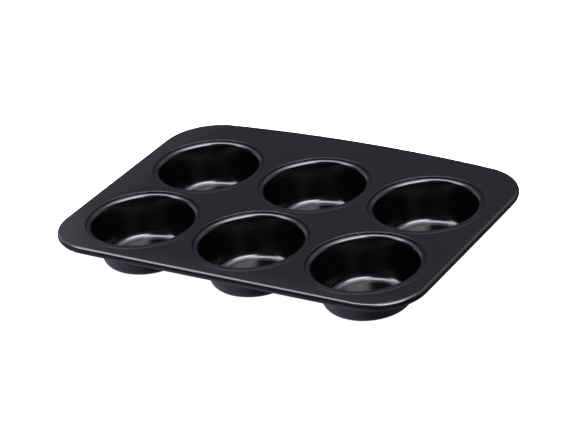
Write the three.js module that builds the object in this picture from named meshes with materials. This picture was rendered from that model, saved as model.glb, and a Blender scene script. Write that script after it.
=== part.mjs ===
// Six-cup muffin pan in coated steel sheet. A pressed top plate has its edge rolled round a steel wire,
// and six drawn cups hang in it. Each cup's rim is curled over a collar turned up at the plate's opening.
// Millimetres. +X runs to the pan's right, +Y to its back and +Z up. The cups stand on z = 0.

import * as THREE from 'three';

// Driving dimensions of the whole pan
const LENGTH = 276.3; // over the rolled edge, left to right
const WIDTH = 204.4; // over the rolled edge, from the front to the middle of the bowed back
const HEIGHT = 29.3; // from the bases of the cups to the plate's flat top face
const FRONT_CORNER_RADIUS = 35; // of the outline
const BACK_CORNER_RADIUS = 38.5;
const BACK_BOW_RADIUS = 920; // of the back edge, which bows out into a grip
const SHEET = 0.7; // thickness of the steel sheet
const CLEARANCE = 0.3; // between pieces that bear on each other

// Edge rolled round its wire
const FIELD_INSET = 7.5; // from the outer edge in to where the flat face begins
const EDGE_DROP = 0.3; // from the flat face down to the top of the roll
const ROLL_RADIUS = 2.75; // outside of the roll
const ROLL_TURN = THREE.MathUtils.degToRad(270); // how far the sheet turns round the wire
const WIRE_RADIUS = 1.5;

// Places of the cups
const COLUMNS = ['left', 'middle', 'right'];
const ROWS = ['front', 'back'];
const COLUMN_PITCH = 85.6;
const ROW_PITCH = 84.2;
const FRONT_MARGIN = 50.5; // from the pan's front edge to the axes of the front cups

// Rim and body of a cup
const RIM_RADIUS = 38.2; // outside of the curled rim
const RIM_DROP = 0.7; // from the plate's top face down to the top of the rim
const RIM_EDGE = 0.3; // bevel on the rim's outer edge
const CURL_DEPTH = 3.7; // from the plate's top face down to the end of the curl
const LIP_RADIUS = 3; // from the flat of the rim over into the wall
const LIP_CENTRE = 37.8; // distance of that round's centre from the cup's axis
const WALL_LEAN = THREE.MathUtils.degToRad(15); // draft of the wall
const FLOOR_FILLET = 5.2; // inside, between wall and floor

// Seat pressed into the plate round each cup
const DISH_RADIUS = 41.9; // where the plate begins to slope down to the cup
const DISH_MIDDLE = { in: 1.7, drop: 0.25 }; // point halfway down the slope
const DISH_FOOT = { in: 2.6, drop: 0.5 }; // point where the slope turns down into the well
const WELL_EDGE = 0.9; // from the plate's top face down to the start of the upright wall

// Facets
const ROUND_STEPS = 32; // round a cup and its seat
const CORNER_STEPS = 8; // round one corner of the outline
const BACK_STEPS = 10; // along the bowed back edge
const ROLL_OUTER_STEPS = 8;
const ROLL_INNER_STEPS = 5;
const WIRE_STEPS = 8;
const LIP_STEPS = 4;
const LIP_UNDER_STEPS = 3;
const FILLET_STEPS = 3;

// Finishes
const COATING = { color: 0x2e2c31, roughness: 0.42, metalness: 0.35 };
const BRIGHT_WIRE = { color: 0xb6b7b9, roughness: 0.3, metalness: 1.0 };

// Collects rings of points and the faces between them into one closed surface.
class Surface {
  constructor() {
    this.positions = [];
    this.triangles = [];
  }

  // A ring of points at one height, given as its points' numbers.
  ring(points, z) {
    const first = this.positions.length / 3;
    for (const point of points) {
      this.positions.push(point.x, point.y, z);
    }
    return points.map((_, i) => first + i);
  }

  // A band of faces from one ring to the next.
  band(from, to) {
    for (let i = 0; i < from.length; i++) {
      const next = (i + 1) % from.length;
      this.triangles.push(from[i], to[i], to[next]);
      this.triangles.push(from[i], to[next], from[next]);
    }
  }

  // Bands through a list of rings, in order.
  bands(rings) {
    for (let i = 1; i < rings.length; i++) {
      this.band(rings[i - 1], rings[i]);
    }
  }

  // A level face inside one ring and outside others, facing up or down.
  face(outer, holes, up) {
    const at = (index) => new THREE.Vector2(this.positions[3 * index], this.positions[3 * index + 1]);
    const order = [outer, ...holes].flat();
    const outline = outer.map(at);
    const openings = holes.map((hole) => hole.map(at));
    for (const corners of THREE.ShapeUtils.triangulateShape(outline, openings)) {
      const [a, b, c] = corners.map((corner) => order[corner]);
      const isUp = THREE.ShapeUtils.area([at(a), at(b), at(c)]) > 0;
      this.triangles.push(a, ...(isUp === up ? [b, c] : [c, b]));
    }
  }

  geometry() {
    const geometry = new THREE.BufferGeometry();
    geometry.setAttribute('position', new THREE.Float32BufferAttribute(this.positions, 3));
    geometry.setIndex(this.triangles);
    geometry.computeVertexNormals();
    return geometry;
  }
}

// Points along an arc, both ends included.
function arc(x, y, radius, from, to, steps) {
  const points = [];
  for (let i = 0; i <= steps; i++) {
    const angle = from + ((to - from) * i) / steps;
    points.push(new THREE.Vector2(x + radius * Math.cos(angle), y + radius * Math.sin(angle)));
  }
  return points;
}

// The pan's outline, a given distance inside its outer edge, anticlockwise from the front right corner.
// The back corners run smoothly into the bowed back edge.
function panOutline(inset) {
  const frontX = LENGTH / 2 - FRONT_CORNER_RADIUS;
  const frontY = -WIDTH / 2 + FRONT_CORNER_RADIUS;
  const frontRadius = FRONT_CORNER_RADIUS - inset;
  const bowY = WIDTH / 2 - BACK_BOW_RADIUS;
  const backX = LENGTH / 2 - BACK_CORNER_RADIUS;
  const backY = bowY + Math.sqrt((BACK_BOW_RADIUS - BACK_CORNER_RADIUS) ** 2 - backX ** 2);
  const backRadius = BACK_CORNER_RADIUS - inset;
  const turn = Math.atan2(backY - bowY, backX);
  const bow = arc(0, bowY, BACK_BOW_RADIUS - inset, turn, Math.PI - turn, BACK_STEPS);
  return [
    ...arc(frontX, frontY, frontRadius, -Math.PI / 2, 0, CORNER_STEPS),
    ...arc(backX, backY, backRadius, 0, turn, CORNER_STEPS),
    ...bow.slice(1, -1),
    ...arc(-backX, backY, backRadius, Math.PI - turn, Math.PI, CORNER_STEPS),
    ...arc(-frontX, frontY, frontRadius, Math.PI, 1.5 * Math.PI, CORNER_STEPS),
  ];
}

// A circle round a cup's axis, clockwise from above, as the edge of an opening runs.
function circle(centre, radius) {
  const points = [];
  for (let i = 0; i < ROUND_STEPS; i++) {
    const angle = (-2 * Math.PI * i) / ROUND_STEPS;
    points.push(new THREE.Vector2(centre.x + radius * Math.cos(angle), centre.y + radius * Math.sin(angle)));
  }
  return points;
}

// Axis of the cup in a column and a row.
function cupCentre(column, row) {
  return new THREE.Vector2(
    (column - (COLUMNS.length - 1) / 2) * COLUMN_PITCH,
    -WIDTH / 2 + FRONT_MARGIN + row * ROW_PITCH,
  );
}

// Section of the plate's seat from the flat top face, down the dish into the well where the cup's curl
// hangs, up the collar that the curl hooks over, and back along the underside.
function seatSection() {
  const wellRadius = RIM_RADIUS + CLEARANCE;
  const wellFloor = HEIGHT - CURL_DEPTH - CLEARANCE;
  const collarOutside = RIM_RADIUS - SHEET - CLEARANCE;
  const collarInside = collarOutside - SHEET;
  const lipZ = HEIGHT - RIM_DROP - LIP_RADIUS;
  const lipUnder = lipZ + Math.sqrt((LIP_RADIUS - SHEET) ** 2 - (LIP_CENTRE - collarInside) ** 2);
  const collarTop = lipUnder - CLEARANCE;
  return [
    new THREE.Vector2(DISH_RADIUS, HEIGHT),
    new THREE.Vector2(DISH_RADIUS - DISH_MIDDLE.in, HEIGHT - DISH_MIDDLE.drop),
    new THREE.Vector2(DISH_RADIUS - DISH_FOOT.in, HEIGHT - DISH_FOOT.drop),
    new THREE.Vector2(wellRadius, HEIGHT - WELL_EDGE),
    new THREE.Vector2(wellRadius, wellFloor),
    new THREE.Vector2(collarOutside, wellFloor),
    new THREE.Vector2(collarOutside, collarTop),
    new THREE.Vector2(collarInside, collarTop),
    new THREE.Vector2(collarInside, wellFloor - SHEET),
    new THREE.Vector2(wellRadius + SHEET, wellFloor - SHEET),
    new THREE.Vector2(wellRadius + SHEET, HEIGHT - WELL_EDGE - SHEET / 2),
    new THREE.Vector2(DISH_RADIUS, HEIGHT - SHEET),
  ];
}

// The plate: two level faces, joined round the outside by the rolled edge and at each opening by a seat.
function topPlate() {
  const surface = new Surface();
  const rollZ = HEIGHT - EDGE_DROP - ROLL_RADIUS;
  const rollRing = (radius, angle) =>
    surface.ring(panOutline(ROLL_RADIUS - radius * Math.cos(angle)), rollZ + radius * Math.sin(angle));

  const edge = [surface.ring(panOutline(FIELD_INSET), HEIGHT)];
  for (let i = 0; i <= ROLL_OUTER_STEPS; i++) {
    edge.push(rollRing(ROLL_RADIUS, Math.PI / 2 - (ROLL_TURN * i) / ROLL_OUTER_STEPS));
  }
  for (let i = ROLL_INNER_STEPS; i >= 0; i--) {
    edge.push(rollRing(ROLL_RADIUS - SHEET, Math.PI / 2 - (ROLL_TURN * i) / ROLL_INNER_STEPS));
  }
  edge.push(surface.ring(panOutline(FIELD_INSET), HEIGHT - SHEET));
  surface.bands(edge);

  const section = seatSection();
  const topHoles = [];
  const underHoles = [];
  for (let row = 0; row < ROWS.length; row++) {
    for (let column = 0; column < COLUMNS.length; column++) {
      const centre = cupCentre(column, row);
      const seat = section.map((point) => surface.ring(circle(centre, point.x), point.y));
      surface.bands(seat);
      topHoles.push(seat[0]);
      underHoles.push(seat[seat.length - 1]);
    }
  }
  surface.face(edge[0], topHoles, true);
  surface.face(edge[edge.length - 1], underHoles, false);
  return surface.geometry();
}

// The wire inside the rolled edge, one closed loop.
function rimWire() {
  const surface = new Surface();
  const rings = [];
  for (let i = 0; i <= WIRE_STEPS; i++) {
    const angle = (-2 * Math.PI * (i % WIRE_STEPS)) / WIRE_STEPS;
    const outline = panOutline(ROLL_RADIUS - WIRE_RADIUS * Math.cos(angle));
    const z = HEIGHT - EDGE_DROP - ROLL_RADIUS + WIRE_RADIUS * Math.sin(angle);
    rings.push(i < WIRE_STEPS ? surface.ring(outline, z) : rings[0]);
  }
  surface.bands(rings);
  return surface.geometry();
}

// Section of a cup, revolved about its axis: the outside from the base up the wall and into the curl,
// then the rim, over the lip, and down the inside to the floor.
function cupSection() {
  const lipZ = HEIGHT - RIM_DROP - LIP_RADIUS;
  const wallTop = {
    r: LIP_CENTRE - LIP_RADIUS * Math.cos(WALL_LEAN),
    z: lipZ + LIP_RADIUS * Math.sin(WALL_LEAN),
  };
  const filletZ = SHEET + FLOOR_FILLET;
  const wallFootZ = filletZ - FLOOR_FILLET * Math.sin(WALL_LEAN);
  const wallFootR = wallTop.r - (wallTop.z - wallFootZ) * Math.tan(WALL_LEAN);
  const floorRadius = wallFootR - FLOOR_FILLET * Math.cos(WALL_LEAN);
  const curlEnd = HEIGHT - CURL_DEPTH;
  const curlInside = RIM_RADIUS - SHEET;
  const under = LIP_RADIUS - SHEET;
  const curlTurn = Math.acos((curlInside - LIP_CENTRE) / under);
  const wallSide = Math.PI - WALL_LEAN;
  return [
    new THREE.Vector2(0, 0),
    ...arc(floorRadius, filletZ, FLOOR_FILLET + SHEET, -Math.PI / 2, -WALL_LEAN, FILLET_STEPS),
    ...arc(LIP_CENTRE, lipZ, under, wallSide, curlTurn, LIP_UNDER_STEPS),
    new THREE.Vector2(curlInside, curlEnd),
    new THREE.Vector2(RIM_RADIUS, curlEnd),
    new THREE.Vector2(RIM_RADIUS, HEIGHT - RIM_DROP - RIM_EDGE),
    new THREE.Vector2(RIM_RADIUS - RIM_EDGE, HEIGHT - RIM_DROP),
    ...arc(LIP_CENTRE, lipZ, LIP_RADIUS, Math.PI / 2, wallSide, LIP_STEPS),
    ...arc(floorRadius, filletZ, FLOOR_FILLET, -WALL_LEAN, -Math.PI / 2, FILLET_STEPS),
    new THREE.Vector2(0, SHEET),
  ];
}

function cup() {
  const geometry = new THREE.LatheGeometry(cupSection(), ROUND_STEPS);
  geometry.rotateX(Math.PI / 2);
  return geometry;
}

function piece(name, geometry, finish) {
  const mesh = new THREE.Mesh(geometry, new THREE.MeshStandardMaterial(finish));
  mesh.name = name;
  return mesh;
}

const pan = new THREE.Group();
pan.add(piece('top_plate', topPlate(), COATING));
pan.add(piece('rim_wire', rimWire(), BRIGHT_WIRE));

for (let row = 0; row < ROWS.length; row++) {
  for (let column = 0; column < COLUMNS.length; column++) {
    const mesh = piece(`cup_${ROWS[row]}_${COLUMNS[column]}`, cup(), COATING);
    const centre = cupCentre(column, row);
    mesh.position.set(centre.x, centre.y, 0);
    pan.add(mesh);
  }
}

export default pan;
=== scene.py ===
"""Six-cup muffin pan in coated steel sheet: a pressed plate with a wired edge, drawn cups, and a stage."""

import math

import bmesh
import bpy
from mathutils import Matrix, Vector
from mathutils.geometry import interpolate_bezier


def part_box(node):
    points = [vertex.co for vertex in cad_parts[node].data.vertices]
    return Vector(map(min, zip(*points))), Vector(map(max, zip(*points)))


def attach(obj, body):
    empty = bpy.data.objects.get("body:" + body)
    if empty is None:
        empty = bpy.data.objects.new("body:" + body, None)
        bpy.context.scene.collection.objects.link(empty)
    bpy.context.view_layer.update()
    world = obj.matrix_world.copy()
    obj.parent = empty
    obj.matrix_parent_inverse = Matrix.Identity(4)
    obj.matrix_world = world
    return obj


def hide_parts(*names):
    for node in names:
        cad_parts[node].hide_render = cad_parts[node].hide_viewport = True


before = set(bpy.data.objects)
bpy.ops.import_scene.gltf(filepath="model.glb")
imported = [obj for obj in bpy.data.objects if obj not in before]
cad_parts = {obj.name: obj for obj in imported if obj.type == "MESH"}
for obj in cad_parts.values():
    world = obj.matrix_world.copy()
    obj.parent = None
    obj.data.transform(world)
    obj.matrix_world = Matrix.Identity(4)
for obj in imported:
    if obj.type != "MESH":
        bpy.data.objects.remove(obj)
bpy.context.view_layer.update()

bl_info = {
    "name": "Muffin Pan",
    "version": (1, 0, 0),
    "blender": (4, 5, 0),
    "location": "View3D > Sidebar > Muffin Pan",
    "description": "Builds a six-cup muffin pan in coated steel sheet, and a stage to show it on",
    "category": "Object",
}

BODY = "root"
MM = 0.001

# Places that the frame gives
PLATE_LOW, PLATE_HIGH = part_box("top_plate")
HEIGHT = PLATE_HIGH.z
CUP_BOXES = {name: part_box(name) for name in sorted(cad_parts) if name.startswith("cup_")}
CUP_AXES = {
    name: Vector(((low.x + high.x) / 2, (low.y + high.y) / 2, 0)) for name, (low, high) in CUP_BOXES.items()
}

# Facets, fine enough that no outline shows a corner in a close view
CORNER_STEPS = 24
BACK_STEPS = 32
ROLL_STEPS = 40
WIRE_STEPS = 20
ROUND_STEPS = 192
SLOPE_STEPS = 10
LIP_STEPS = 14
FILLET_STEPS = 16
SHARP_ANGLE = math.radians(40)

# Narrow level band beside each curve, which keeps the shading of the flat faces flat
FLAT_BAND = 0.5 * MM

# Gaps left between pieces that bear on each other, and between the seats of neighbouring cups
SEAM_GAP = 0.06 * MM
COLLAR_GAP = 0.2 * MM
SEAT_GAP = 0.05 * MM

# Stage: the floor, and the point that the camera turns about
FLOOR_SIDE = 12.0
FLOOR_GAP = 0.1 * MM
AIM = Vector((0, -9.587 * MM, HEIGHT - 0.689 * MM))

# Soft lights of the studio, as round parts of the sky: the azimuth from +X and the elevation of the middle,
# the angle from there to which the light is full, the further angle over which it fades, all in degrees, and
# then its brightness and its colour. The two from below stand for the light that a table gives back, since
# the white floor is left out of reflections.
SOFT_LIGHTS = {
    "key": (347, 60, 5, 18, 9.5, "#f9f9ff"),
    "overhead front": (306, 66, 8, 6, 8.8, "#f9f9ff"),
    "overhead right": (17, 78, 14, 24, 3.2, "#f9f9ff"),
    "overhead left": (220, 66, 25, 4, 6.2, "#f9f9ff"),
    "overhead back": (123, 68, 8, 20, 0.4, "#f9f9ff"),
    "left fill": (184, 57, 17, 13, 1.3, "#f2ecff"),
    "back fill": (116, 58, 40, 20, 0.222, "#eee7ff"),
    "right fill": (50, 40, 14, 32, 0.72, "#eee7ff"),
    "back left fill": (167, 15, 12, 12, 0.75, "#f2ecff"),
    "front fill": (305, 45, 33, 5, 0.17, "#eee7ff"),
    "table": (270, -90, 72, 14, 0.165, "#e6dfff"),
    "table left": (214, -36, 20, 45, 0.32, "#e6dfff"),
}
# Black flag above the camera and to its left, which keeps the cups' walls and a patch of their floors dark:
# the same four angles, and the share of the light that it takes away
FLAG = (252, 55, 19.5, 5)
FLAG_DEPTH = 0.98
# Light that the picture shows as black
BLACK_POINT = (0.0005, 0.0005, 0.0005)

# Coating: the sizes of its patterns in millimetres, and how much paler each one makes it
COATING_IOR = 1.6
MOTTLE_MM = 9
MOTTLE_SHARE = 0.012
# The real speckle is about 0.1 mm, too fine to show, so it is drawn coarser
SPECKLE_MM = 0.6
SPECKLE_SHARE = 0.012
# Orange peel, the slight waves that a sprayed coat sets in
PEEL_MM = 1.4
PEEL_DEPTH = 0.02 * MM
PEEL_STRENGTH = 0.25
# How far the mottle takes the roughness either side of its mean
ROUGHNESS_SPREAD = 0.02
# How far in from the plate's left and front edges and from its front left corner a painted sheen makes the
# coat paler, standing for the light that the plate catches there, how near the corner it is strongest, and
# how much paler it is at each
LEFT_SHEEN_REACH = 36 * MM
LEFT_SHEEN_SHARE = 0.25
FRONT_SHEEN_REACH = 22 * MM
FRONT_SHEEN_SHARE = 0.15
CORNER_SHEEN_REACH = 66 * MM
CORNER_SHEEN_FULL = 14 * MM
CORNER_SHEEN_SHARE = 0.37
# Width of the streaks up the cups' walls, halfway up, and the wall's radius there
STREAK_MM = 1.92
STREAK_RADIUS_MM = 32
STREAK_SHARE = 0.01

# Wire: the lines that the die leaves, drawn out the way it runs, and its least and most roughness
DIE_LINE_MM = 0.15
DIE_LINE_DEPTH = 0.01 * MM
DIE_LINE_STRENGTH = 0.3
DIE_STRETCH = (0.005, 0.005, 1)
WIRE_ROUGHNESS = (0.2, 0.4)

# Paper of the floor: its tooth, its least and most roughness, and how bright it is by itself
TOOTH_MM = 0.8
TOOTH_DEPTH = 0.05 * MM
TOOTH_STRENGTH = 0.2
PAPER_ROUGHNESS = (0.85, 0.95)
PAPER_GLOW = 1.1


# Settings


def length(name, description, default):
    """A size that a user can change, in metres."""
    return bpy.props.FloatProperty(
        name=name, description=description, default=default, min=0.0, precision=5, unit="LENGTH"
    )


def angle(name, description, degrees):
    """An angle that a user can change."""
    return bpy.props.FloatProperty(
        name=name, description=description, default=math.radians(degrees), subtype="ANGLE"
    )


def colour(name, description, hex_code):
    """A colour that a user can change, from its sRGB hex value."""
    return bpy.props.FloatVectorProperty(
        name=name,
        description=description,
        default=linear(hex_code)[:3],
        size=3,
        min=0.0,
        max=1.0,
        subtype="COLOR",
    )


def amount(name, description, default):
    """A share or a gradient that a user can change."""
    return bpy.props.FloatProperty(name=name, description=description, default=default, min=0.0, max=1.0)


def linear(hex_code):
    """An sRGB hex value as linear red, green, blue and alpha."""
    levels = [int(hex_code[i:i + 2], 16) / 255 for i in (1, 3, 5)]
    return (*[v / 12.92 if v <= 0.04045 else ((v + 0.055) / 1.055) ** 2.4 for v in levels], 1.0)


class PanSizes(bpy.types.PropertyGroup):
    """Sizes of the plate, its rolled edge, its seats and the cups."""

    sheet: length("Sheet", "Thickness of the steel sheet", 0.7 * MM)
    front_corner: length("Front corner", "Radius of the outline at its front corners", 35 * MM)
    back_corner: length("Back corner", "Radius of the outline at its back corners", 38.5 * MM)
    back_bow: length("Back bow", "Radius of the back edge, which bows out into a grip", 920 * MM)
    field_inset: length("Field inset", "From the outer edge in to where the flat face begins", 6.2 * MM)
    edge_drop: length("Edge drop", "Fall from the pan's top to the top of the rolled edge", 0.3 * MM)
    roll: length("Edge roll", "Outside radius of the edge rolled round its wire", 2.75 * MM)
    roll_turn: angle("Roll turn", "How far the sheet turns round the wire", 270)
    wire: length("Wire", "Radius of the wire inside the rolled edge", 1.5 * MM)
    bead: length("Bead", "Height of the round bead pressed up about each cup, to the pan's top", 0.4 * MM)
    bead_foot: length("Bead foot", "Distance from a cup's axis at which the plate begins to rise", 43.6 * MM)
    bead_crest: length("Bead crest", "Distance from a cup's axis to the top of the bead", 40.9 * MM)
    brow: length("Brow", "Distance from a cup's axis at which the bead turns down into the well", 39.6 * MM)
    brow_drop: length("Brow drop", "Fall from the bead's top to that turn", 0.28 * MM)
    brow_slope: amount("Brow slope", "Fall of the bead's inner side for each unit inwards, at the turn", 0.42)
    well: length("Well", "Radius of the well that the cup's curl hangs in", 38.95 * MM)
    well_edge: length("Well edge", "Fall from the bead's top to the well's upright wall", 0.4 * MM)
    collar: length("Collar", "Outside radius of the collar turned up at the plate's opening", 37.2 * MM)
    rim: length("Cup rim", "Outside radius of a cup's curled rim", 38.55 * MM)
    rim_drop: length("Rim drop", "Fall from the pan's top to the top of a cup's rim", 0.7 * MM)
    rim_edge: length("Rim edge", "Radius of the rim's outer edge", 0.35 * MM)
    curl: length("Curl", "Fall from the pan's top to the end of a cup's curl", 3.7 * MM)
    lip: length("Lip", "Radius of the round from a cup's rim over into its wall", 3.3 * MM)
    lip_centre: length("Lip centre", "Distance of that round's centre from the cup's axis", 38.1 * MM)
    wall_lean: angle("Wall lean", "Draft of a cup's wall", 15)
    fillet: length("Floor fillet", "Inside radius between a cup's wall and its floor", 5.2 * MM)


class PanFinishes(bpy.types.PropertyGroup):
    """Colours and roughness of the coated steel, and the colour of the bare wire."""

    coating: colour("Coating", "Non-stick coating on plate and cups", "#010102")
    # The pale coating is the tone that the coat's mottle, speckle and streaks lean towards, and also the
    # colour of the painted sheen along the plate's left and front edges.
    pale_coating: colour("Pale coating", "The coating where it lies thickest", "#2a2b2d")
    coating_roughness: amount("Coating roughness", "Mean roughness of the coating", 0.18)
    wire: colour("Wire", "Bare drawn steel of the edge wire", "#b6b7b9")


class PanStage(bpy.types.PropertyGroup):
    """Floor and camera."""

    floor: colour("Floor", "Plain pale floor", "#f7f7f7")
    azimuth: angle("Camera azimuth", "Camera's turn round the pan from straight in front", 33.184)
    elevation: angle("Camera elevation", "Camera's height above the level of the pan", 27.429)
    roll: angle("Camera roll", "Camera's turn about its own axis", -6.234)
    distance: length("Camera distance", "From the camera to the point it turns about", 1.5875)
    across: length("Camera across", "Camera's move to its own right", 3.508 * MM)
    down: length("Camera down", "Camera's move down its own picture", 2.896 * MM)
    lens: bpy.props.FloatProperty(
        name="Lens", description="Focal length on a sensor 36 mm wide", default=148.0, unit="CAMERA"
    )


class PanSettings(bpy.types.PropertyGroup):
    """All settings of the muffin pan."""

    sizes: bpy.props.PointerProperty(type=PanSizes)
    finishes: bpy.props.PointerProperty(type=PanFinishes)
    stage: bpy.props.PointerProperty(type=PanStage)


# Curves and surfaces


def arc(x, y, radius, start, end, steps):
    """Points along an arc, both ends included."""
    turns = [start + (end - start) * i / steps for i in range(steps + 1)]
    return [(x + radius * math.cos(turn), y + radius * math.sin(turn)) for turn in turns]


def curve(start, start_handle, end_handle, end):
    """Points along a Bezier curve, both ends included."""
    ends = [Vector(point) for point in (start, start_handle, end_handle, end)]
    return [tuple(point) for point in interpolate_bezier(*ends, SLOPE_STEPS + 1)]


def slope(start, start_slope, end, end_slope):
    """Points along a smooth slope that leaves and arrives at given gradients."""
    third = (end[0] - start[0]) / 3
    start_handle = (start[0] + third, start[1] + third * start_slope)
    end_handle = (end[0] - third, end[1] - third * end_slope)
    return curve(start, start_handle, end_handle, end)


def outline(sizes, inset):
    """The pan's edge from above, a given distance inside it, anticlockwise from the front right corner."""
    right, front, back = PLATE_HIGH.x, PLATE_LOW.y, PLATE_HIGH.y
    front_x = right - sizes.front_corner
    front_y = front + sizes.front_corner
    back_x = right - sizes.back_corner
    bow_y = back - sizes.back_bow
    back_y = bow_y + math.sqrt((sizes.back_bow - sizes.back_corner) ** 2 - back_x ** 2)
    turn = math.atan2(back_y - bow_y, back_x)
    front_radius = sizes.front_corner - inset
    back_radius = sizes.back_corner - inset
    bow = arc(0, bow_y, sizes.back_bow - inset, turn, math.pi - turn, BACK_STEPS)
    return [
        *arc(front_x, front_y, front_radius, -math.pi / 2, 0, CORNER_STEPS),
        *arc(back_x, back_y, back_radius, 0, turn, CORNER_STEPS),
        *bow[1:-1],
        *arc(-back_x, back_y, back_radius, math.pi - turn, math.pi, CORNER_STEPS),
        *arc(-front_x, front_y, front_radius, math.pi, 1.5 * math.pi, CORNER_STEPS),
    ]


def circle(radius):
    """Points round a cup's axis, anticlockwise."""
    return arc(0, 0, radius, 0, 2 * math.pi, ROUND_STEPS)[:-1]


def lifted(ring, z):
    """A ring of points at a given height."""
    return [(x, y, z) for x, y in ring]


def seat_ring(sizes, axis, radius, z):
    """Points round a seat. The bead's outer side is cut short, and ends higher, where it meets the next."""
    crest, foot = sizes.bead_crest, sizes.bead_foot
    others = [other - axis for other in CUP_AXES.values() if other != axis]
    ring = []
    for x, y in circle(1.0):
        share = 1.0
        if radius > crest:
            facing = [way for way in others if way.x * x + way.y * y > 0]
            rooms = [(way.length / 2 - SEAT_GAP) * way.length / (way.x * x + way.y * y) for way in facing]
            share = (min([foot, *rooms]) - crest) / (foot - crest)
        reach = crest + (radius - crest) * share
        lift = (1 - share) * min(sizes.bead, HEIGHT - z)
        ring.append((axis.x + x * reach, axis.y + y * reach, z + lift))
    return ring


def loft(bm, rings, closed=False):
    """Makes faces from each ring of points to the next, and gives the first and last rings' vertices."""
    rows = [[bm.verts.new(point) for point in ring] for ring in rings]
    pairs = list(zip(rows, rows[1:]))
    if closed:
        pairs.append((rows[-1], rows[0]))
    for row, after in pairs:
        for i, vert in enumerate(row):
            j = (i + 1) % len(row)
            bm.faces.new((vert, after[i], after[j], row[j]))
    return rows[0], rows[-1]


def fill(bm, rings):
    """Makes the face inside the first ring of vertices and outside the others."""
    edges = [bm.edges.get((ring[i - 1], vert)) for ring in rings for i, vert in enumerate(ring)]
    bmesh.ops.triangle_fill(bm, edges=edges, use_beauty=True)


def add_piece(bm, name, node, material, place=(0, 0, 0)):
    """Turns a mesh into the piece that stands for a node, and fastens it to the pan."""
    bmesh.ops.recalc_face_normals(bm, faces=bm.faces)
    mesh = bpy.data.meshes.new(name)
    bm.to_mesh(mesh)
    bm.free()
    mesh.shade_smooth()
    mesh.set_sharp_from_angle(angle=SHARP_ANGLE)
    mesh.materials.append(material)
    piece = bpy.data.objects.new(name, mesh)
    piece.location = place
    bpy.context.scene.collection.objects.link(piece)
    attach(piece, BODY)
    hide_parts(node)


# Materials


def add_node(tree, kind, inputs=None, links=None, **settings):
    """Adds a node, sets its options and input values, and links its inputs to other nodes' outputs."""
    node = tree.nodes.new(kind)
    for name, value in settings.items():
        setattr(node, name, value)
    for name, value in (inputs or {}).items():
        node.inputs[name].default_value = value
    for name, output in (links or {}).items():
        tree.links.new(output, node.inputs[name])
    return node


def new_material(name):
    """An empty material, its node tree, and the place on the piece that its patterns follow."""
    material = bpy.data.materials.get(name) or bpy.data.materials.new(name)
    material.use_nodes = True
    tree = material.node_tree
    tree.nodes.clear()
    place = add_node(tree, "ShaderNodeTexCoord").outputs["Object"]
    return material, tree, place


def per_metre(size_mm):
    """The scale of a pattern whose features are a given number of millimetres across."""
    return 1 / (size_mm * MM)


def add_surface(tree, inputs, links, gloss, bump):
    """Adds the shader that a material ends in.

    Gloss is a pattern with the least and most roughness it gives, and bump one with its strength and depth.
    """
    wear, smoothest, roughest = gloss
    roughness = add_node(
        tree, "ShaderNodeMapRange", {"To Min": smoothest, "To Max": roughest}, {"Value": wear}
    )
    height, strength, depth = bump
    relief = add_node(tree, "ShaderNodeBump", {"Strength": strength, "Distance": depth}, {"Height": height})
    shader = add_node(
        tree,
        "ShaderNodeBsdfPrincipled",
        inputs,
        {**links, "Roughness": roughness.outputs["Result"], "Normal": relief.outputs["Normal"]},
    )
    add_node(tree, "ShaderNodeOutputMaterial", links={"Surface": shader.outputs["BSDF"]})


def coated_steel(name, finishes, paleness):
    """Non-stick coating, sprayed and baked on steel: satin charcoal with orange peel and a faint mottle."""
    material, tree, place = new_material(name)
    mottle, speckle, peel = [
        add_node(
            tree, "ShaderNodeTexNoise", {"Scale": per_metre(size), "Detail": detail}, {"Vector": place}
        ).outputs["Fac"]
        for size, detail in ((MOTTLE_MM, 3), (SPECKLE_MM, 1), (PEEL_MM, 2))
    ]
    pale = paleness(tree, place)
    for pattern, share in ((mottle, MOTTLE_SHARE), (speckle, SPECKLE_SHARE)):
        pale = add_node(
            tree, "ShaderNodeMath", {1: share}, {0: pattern, 2: pale}, operation="MULTIPLY_ADD"
        ).outputs[0]
    tone = add_node(
        tree,
        "ShaderNodeMix",
        {"A": (*finishes.coating, 1), "B": (*finishes.pale_coating, 1)},
        {"Factor": pale},
        data_type="RGBA",
    )
    mean = finishes.coating_roughness
    add_surface(
        tree,
        {"IOR": COATING_IOR},
        {"Base Color": tone.outputs["Result"]},
        gloss=(mottle, mean - ROUGHNESS_SPREAD, mean + ROUGHNESS_SPREAD),
        bump=(peel, PEEL_STRENGTH, PEEL_DEPTH),
    )
    return material


def painted_sheen_margin(tree, place):
    """How pale the plate's coat is: a painted sheen along its left and front edges and round its front left
    corner, where the plate catches more light.
    """
    sides = add_node(tree, "ShaderNodeSeparateXYZ", links={0: place}).outputs
    front_left = (PLATE_LOW.x, PLATE_LOW.y, HEIGHT)
    corner = add_node(tree, "ShaderNodeVectorMath", {1: front_left}, {0: place}, operation="DISTANCE")
    reaches = (
        (sides["X"], PLATE_LOW.x + LEFT_SHEEN_REACH, PLATE_LOW.x, LEFT_SHEEN_SHARE),
        (sides["Y"], PLATE_LOW.y + FRONT_SHEEN_REACH, PLATE_LOW.y, FRONT_SHEEN_SHARE),
        (corner.outputs["Value"], CORNER_SHEEN_REACH, CORNER_SHEEN_FULL, CORNER_SHEEN_SHARE),
    )
    pale = None
    for value, start, end, share in reaches:
        reach = add_node(
            tree,
            "ShaderNodeMapRange",
            {"From Min": start, "From Max": end, "To Max": share},
            {"Value": value},
            interpolation_type="SMOOTHSTEP",
        ).outputs[0]
        pale = add_node(tree, "ShaderNodeMath", links={0: pale, 1: reach}).outputs[0] if pale else reach
    return pale


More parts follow.
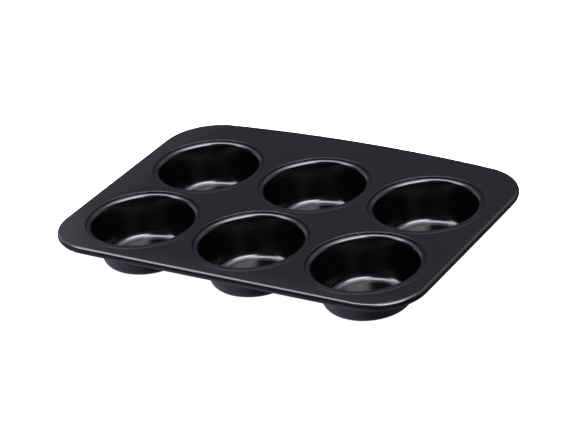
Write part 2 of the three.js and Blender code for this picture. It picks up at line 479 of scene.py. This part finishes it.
def draw_streaks(tree, place):
    """How pale a cup's coat is: faint streaks up the wall, where the sheet was drawn over the punch."""
    flat = add_node(tree, "ShaderNodeVectorMath", {1: (1, 1, 0)}, {0: place}, operation="MULTIPLY")
    around = add_node(tree, "ShaderNodeVectorMath", links={0: flat.outputs[0]}, operation="NORMALIZE")
    streaks = add_node(
        tree,
        "ShaderNodeTexNoise",
        {"Scale": STREAK_RADIUS_MM / STREAK_MM, "Detail": 2},
        {"Vector": around.outputs[0]},
    ).outputs["Fac"]
    return add_node(tree, "ShaderNodeMath", {1: STREAK_SHARE}, {0: streaks}, operation="MULTIPLY").outputs[0]


def drawn_wire(finishes):
    """Bare steel wire, bright from the drawing die, with fine lines along it."""
    material, tree, place = new_material("Bright drawn steel wire")
    along = add_node(tree, "ShaderNodeVectorMath", {1: DIE_STRETCH}, {0: place}, operation="MULTIPLY")
    lines = add_node(
        tree,
        "ShaderNodeTexNoise",
        {"Scale": per_metre(DIE_LINE_MM), "Detail": 2},
        {"Vector": along.outputs[0]},
    ).outputs["Fac"]
    add_surface(
        tree,
        {"Base Color": (*finishes.wire, 1), "Metallic": 1.0},
        {},
        gloss=(lines, *WIRE_ROUGHNESS),
        bump=(lines, DIE_LINE_STRENGTH, DIE_LINE_DEPTH),
    )
    return material


def white_paper(stage):
    """Matt white paper sweep with a fine tooth, lit until it is pure white."""
    material, tree, place = new_material("Matt white studio paper")
    tooth = add_node(
        tree, "ShaderNodeTexNoise", {"Scale": per_metre(TOOTH_MM), "Detail": 2}, {"Vector": place}
    ).outputs["Fac"]
    add_surface(
        tree,
        {
            "Base Color": (*stage.floor, 1),
            "Specular IOR Level": 0.0,
            "Emission Color": (*stage.floor, 1),
            "Emission Strength": PAPER_GLOW,
        },
        {},
        gloss=(tooth, *PAPER_ROUGHNESS),
        bump=(tooth, TOOTH_STRENGTH, TOOTH_DEPTH),
    )
    return material


# Operators


class MUFFIN_PAN_OT_plate(bpy.types.Operator):
    """Make the pressed plate, with its rolled edge and a seat for each cup"""

    bl_idname = "muffin_pan.plate"
    bl_label = "Top Plate"
    bl_options = {"REGISTER", "UNDO"}

    def execute(self, context):
        settings = context.scene.muffin_pan
        sizes = settings.sizes
        bm = bmesh.new()
        edge_top, edge_under = loft(bm, self.edge(sizes))
        tops, unders = [edge_top], [edge_under]
        section = self.seat(sizes)
        for axis in CUP_AXES.values():
            seat_top, seat_under = loft(bm, [seat_ring(sizes, axis, r, z) for r, z in section])
            tops.append(seat_top)
            unders.append(seat_under)
        fill(bm, tops)
        fill(bm, unders)
        # The plate's coat is paler near its left and front edges and its front left corner: a painted sheen
        # for the light the plate catches there.
        material = coated_steel("Non-stick coating sprayed on pressed steel", settings.finishes, painted_sheen_margin)
        add_piece(bm, "pan_top_plate", "top_plate", material)
        return {"FINISHED"}

    def edge(self, sizes):
        """Rings from the flat top over the roll, and back inside it to the flat underside."""
        inner = sizes.roll - sizes.sheet
        start, end = math.pi / 2, math.pi / 2 - sizes.roll_turn
        field = sizes.roll - sizes.field_inset
        rise = sizes.edge_drop - sizes.bead
        section = [
            (field - FLAT_BAND, sizes.roll + rise),
            *slope((field, sizes.roll + rise), 0, (0, sizes.roll), 0),
            *arc(0, 0, sizes.roll, start, end, ROLL_STEPS)[1:],
            *arc(0, 0, inner, end, start, ROLL_STEPS),
            *slope((0, inner), 0, (field, inner + rise), 0)[1:],
            (field - FLAT_BAND, inner + rise),
        ]
        middle = HEIGHT - sizes.edge_drop - sizes.roll
        return [lifted(outline(sizes, sizes.roll - x), middle + z) for x, z in section]

    def seat(self, sizes):
        """Section from the flat top over the bead into the well, up the collar and back underneath."""
        flat = HEIGHT - sizes.bead
        well_floor = HEIGHT - sizes.curl - SEAM_GAP
        collar_inside = sizes.collar - sizes.sheet
        under = math.sqrt((sizes.lip - sizes.sheet) ** 2 - (sizes.lip_centre - collar_inside) ** 2)
        collar_top = HEIGHT - sizes.rim_drop - sizes.lip + under - COLLAR_GAP
        foot, crest = (sizes.bead_foot - FLAT_BAND, flat), (sizes.bead_crest, HEIGHT)
        brow = (sizes.brow, HEIGHT - sizes.brow_drop)
        well = (sizes.well, HEIGHT - sizes.well_edge)
        turn = (sizes.brow - sizes.well) / 2
        brow_handle = (brow[0] - turn, brow[1] - turn * sizes.brow_slope)
        well_handle = (well[0], well[1] + turn)
        outside = sizes.well + sizes.sheet
        return [
            (sizes.bead_foot, flat),
            *slope(foot, 0, crest, 0),
            *slope(crest, 0, brow, sizes.brow_slope)[1:],
            *curve(brow, brow_handle, well_handle, well)[1:],
            (sizes.well, well_floor),
            (sizes.collar, well_floor),
            (sizes.collar, collar_top),
            (collar_inside, collar_top),
            (collar_inside, well_floor - sizes.sheet),
            (outside, well_floor - sizes.sheet),
            (outside, HEIGHT - sizes.well_edge - sizes.sheet / 2),
            (sizes.bead_crest, HEIGHT - sizes.sheet),
            (foot[0], flat - sizes.sheet),
            (sizes.bead_foot, flat - sizes.sheet),
        ]


class MUFFIN_PAN_OT_wire(bpy.types.Operator):
    """Make the loop of wire inside the rolled edge"""

    bl_idname = "muffin_pan.wire"
    bl_label = "Edge Wire"
    bl_options = {"REGISTER", "UNDO"}

    def execute(self, context):
        settings = context.scene.muffin_pan
        sizes = settings.sizes
        bm = bmesh.new()
        section = arc(0, 0, sizes.wire, 0, -2 * math.pi, WIRE_STEPS)[:-1]
        middle = HEIGHT - sizes.edge_drop - sizes.roll
        loft(bm, [lifted(outline(sizes, sizes.roll - x), middle + z) for x, z in section], closed=True)
        add_piece(bm, "pan_rim_wire", "rim_wire", drawn_wire(settings.finishes))
        return {"FINISHED"}


class MUFFIN_PAN_OT_cups(bpy.types.Operator):
    """Make the drawn cups, each with its rim curled over the plate's collar"""

    bl_idname = "muffin_pan.cups"
    bl_label = "Cups"
    bl_options = {"REGISTER", "UNDO"}

    def execute(self, context):
        settings = context.scene.muffin_pan
        material = coated_steel("Non-stick coating sprayed on drawn steel", settings.finishes, draw_streaks)
        section = self.section(settings.sizes)
        for node, axis in CUP_AXES.items():
            bm = bmesh.new()
            base, floor = loft(bm, [lifted(circle(r), z) for r, z in section])
            bm.faces.new(base)
            bm.faces.new(floor)
            add_piece(bm, f"pan_{node}", node, material, axis)
        return {"FINISHED"}

    def section(self, sizes):
        """Section from the base up the outside, round the curl, over the lip and down to the floor."""
        lean = sizes.wall_lean
        lip_z = HEIGHT - sizes.rim_drop - sizes.lip
        wall_top_r = sizes.lip_centre - sizes.lip * math.cos(lean)
        wall_top_z = lip_z + sizes.lip * math.sin(lean)
        fillet_z = sizes.sheet + sizes.fillet
        wall_foot_z = fillet_z - sizes.fillet * math.sin(lean)
        wall_foot_r = wall_top_r - (wall_top_z - wall_foot_z) * math.tan(lean)
        floor_r = wall_foot_r - sizes.fillet * math.cos(lean)
        under = sizes.lip - sizes.sheet
        curl_inside = sizes.rim - sizes.sheet
        curl_end = HEIGHT - sizes.curl
        edge_r = sizes.rim - sizes.rim_edge
        edge_z = HEIGHT - sizes.rim_drop - sizes.rim_edge
        wall_side = math.pi - lean
        curl_turn = math.acos((curl_inside - sizes.lip_centre) / under)
        return [
            (floor_r - FLAT_BAND, 0),
            *arc(floor_r, fillet_z, sizes.fillet + sizes.sheet, -math.pi / 2, -lean, FILLET_STEPS),
            *arc(sizes.lip_centre, lip_z, under, wall_side, curl_turn, LIP_STEPS),
            (curl_inside, curl_end),
            (sizes.rim, curl_end),
            *arc(edge_r, edge_z, sizes.rim_edge, 0, math.pi / 2, LIP_STEPS // 2),
            *arc(sizes.lip_centre, lip_z, sizes.lip, math.pi / 2, wall_side, LIP_STEPS),
            *arc(floor_r, fillet_z, sizes.fillet, -lean, -math.pi / 2, FILLET_STEPS),
            (floor_r - FLAT_BAND, sizes.sheet),
        ]


class MUFFIN_PAN_OT_stage(bpy.types.Operator):
    """Make the floor, the light and the camera"""

    bl_idname = "muffin_pan.stage"
    bl_label = "Stage"
    bl_options = {"REGISTER", "UNDO"}

    def execute(self, context):
        stage = context.scene.muffin_pan.stage
        self.floor(stage)
        self.light(context.scene)
        self.camera(context.scene, stage)
        return {"FINISHED"}

    def floor(self, stage):
        """A wide level sheet just under the cups, which the camera sees and the pan doesn't reflect."""
        half = FLOOR_SIDE / 2
        mesh = bpy.data.meshes.new("studio_floor")
        corners = [(-half, -half, 0), (half, -half, 0), (half, half, 0), (-half, half, 0)]
        mesh.from_pydata(corners, [], [(0, 1, 2, 3)])
        mesh.materials.append(white_paper(stage))
        floor = bpy.data.objects.new("studio_floor", mesh)
        floor.location.z = -FLOOR_GAP
        floor.visible_glossy = False
        floor.visible_diffuse = False
        bpy.context.scene.collection.objects.link(floor)

    def light(self, scene):
        """A dark room with large soft lights, drawn as bright parts of the sky, and a flag before them."""
        world = bpy.data.worlds.new("Studio room")
        scene.world = world
        world.use_nodes = True
        tree = world.node_tree
        tree.nodes.clear()
        towards = add_node(tree, "ShaderNodeTexCoord").outputs["Generated"]
        flag = self.glow(tree, towards, *FLAG, FLAG_DEPTH)
        lit = add_node(tree, "ShaderNodeMath", {0: 1.0}, {1: flag}, operation="SUBTRACT").outputs[0]
        sky = None
        for *reach, level, hex_code in SOFT_LIGHTS.values():
            glow = self.glow(tree, towards, *reach, level)
            seen = add_node(tree, "ShaderNodeMath", links={0: glow, 1: lit}, operation="MULTIPLY").outputs[0]
            tint = {"Color": linear(hex_code)}
            light = add_node(tree, "ShaderNodeBackground", tint, {"Strength": seen}).outputs[0]
            sky = add_node(tree, "ShaderNodeAddShader", links={0: sky, 1: light}).outputs[0] if sky else light
        add_node(tree, "ShaderNodeOutputWorld", links={"Surface": sky})
        view = scene.view_settings
        view.view_transform = "Standard"
        view.use_curve_mapping = True
        view.curve_mapping.black_level = BLACK_POINT

    def glow(self, tree, towards, azimuth, elevation, full, fade, level):
        """A round part of the sky, of an even level in its middle and fading out round it."""
        turn, rise = math.radians(azimuth), math.radians(elevation)
        middle = (math.cos(turn) * math.cos(rise), math.sin(turn) * math.cos(rise), math.sin(rise))
        near = add_node(tree, "ShaderNodeVectorMath", {1: middle}, {0: towards}, operation="DOT_PRODUCT")
        spread = add_node(
            tree,
            "ShaderNodeMapRange",
            {
                "From Min": math.cos(math.radians(full + fade)),
                "From Max": math.cos(math.radians(full)),
                "To Max": level,
            },
            {"Value": near.outputs["Value"]},
            interpolation_type="SMOOTHSTEP",
        )
        return spread.outputs[0]

    def camera(self, scene, stage):
        """A long lens at the photograph's angle."""
        turn, rise, roll = stage.azimuth, stage.elevation, stage.roll
        back = Vector((math.sin(turn) * math.cos(rise), -math.cos(turn) * math.cos(rise), math.sin(rise)))
        level = Vector((math.cos(turn), math.sin(turn), 0))
        above = back.cross(level)
        right = math.cos(roll) * level + math.sin(roll) * above
        up = math.cos(roll) * above - math.sin(roll) * level
        eye = AIM + back * stage.distance + right * stage.across - up * stage.down
        lens = bpy.data.cameras.new("studio_camera")
        lens.sensor_fit = "HORIZONTAL"
        lens.lens = stage.lens
        camera = bpy.data.objects.new("studio_camera", lens)
        camera.matrix_world = Matrix.Translation(eye) @ Matrix((right, up, back)).transposed().to_4x4()
        scene.collection.objects.link(camera)
        scene.camera = camera


# Panel and start


class MUFFIN_PAN_PT_panel(bpy.types.Panel):
    """Muffin pan"""

    bl_idname = "MUFFIN_PAN_PT_panel"
    bl_label = "Muffin Pan"
    bl_space_type = "VIEW_3D"
    bl_region_type = "UI"
    bl_category = "Muffin Pan"

    def draw(self, context):
        for operator in OPERATORS:
            self.layout.operator(operator.bl_idname)
        settings = context.scene.muffin_pan
        for group in (settings.sizes, settings.finishes, settings.stage):
            box = self.layout.box()
            for name in group.bl_rna.properties.keys():
                if name not in ("rna_type", "name"):
                    box.prop(group, name)


OPERATORS = [MUFFIN_PAN_OT_plate, MUFFIN_PAN_OT_wire, MUFFIN_PAN_OT_cups, MUFFIN_PAN_OT_stage]
CLASSES = [PanSizes, PanFinishes, PanStage, PanSettings, *OPERATORS, MUFFIN_PAN_PT_panel]


def register():
    for cls in CLASSES:
        bpy.utils.register_class(cls)
    bpy.types.Scene.muffin_pan = bpy.props.PointerProperty(type=PanSettings)


def unregister():
    del bpy.types.Scene.muffin_pan
    for cls in reversed(CLASSES):
        bpy.utils.unregister_class(cls)


def main():
    """Makes the pan and its stage."""
    register()
    bpy.ops.muffin_pan.plate()
    bpy.ops.muffin_pan.wire()
    bpy.ops.muffin_pan.cups()
    bpy.ops.muffin_pan.stage()


if __name__ == "__main__":
    main()
